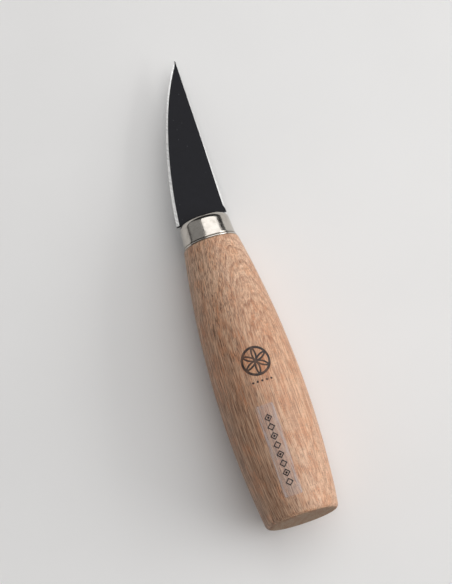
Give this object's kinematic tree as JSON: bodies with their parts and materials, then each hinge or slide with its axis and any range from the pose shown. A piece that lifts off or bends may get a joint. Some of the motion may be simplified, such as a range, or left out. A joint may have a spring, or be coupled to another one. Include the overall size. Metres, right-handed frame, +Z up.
{
  "type": "whittling knife",
  "caption": "Small woodcarving knife: black blade with a straight cutting edge and curved back, bright ferrule, turned barrel-shaped beech handle.",
  "frame": {"origin": "on the surface the knife lies on, under the middle of its bounding box", "axes": "+Z up; +X forward from the butt to the point, level, with the knife's own axis pitched nose down by its angle of rest; +Y towards the back of the blade, with the cutting edge on the -Y side and the blade's side facing up"},
  "size_m": [0.1746, 0.0318, 0.034],
  "materials": {
    "black_steel": "satin",
    "nickel_plate": "polished",
    "beech": "satin",
    "epoxy": "gloss",
    "clear_film": "satin"
  },
  "bodies": {
    "root": {"blade": "black_steel", "ferrule": "nickel_plate", "handle": "beech", "tang_adhesive": "epoxy", "label_film": "clear_film"}
  },
  "joints": []
}
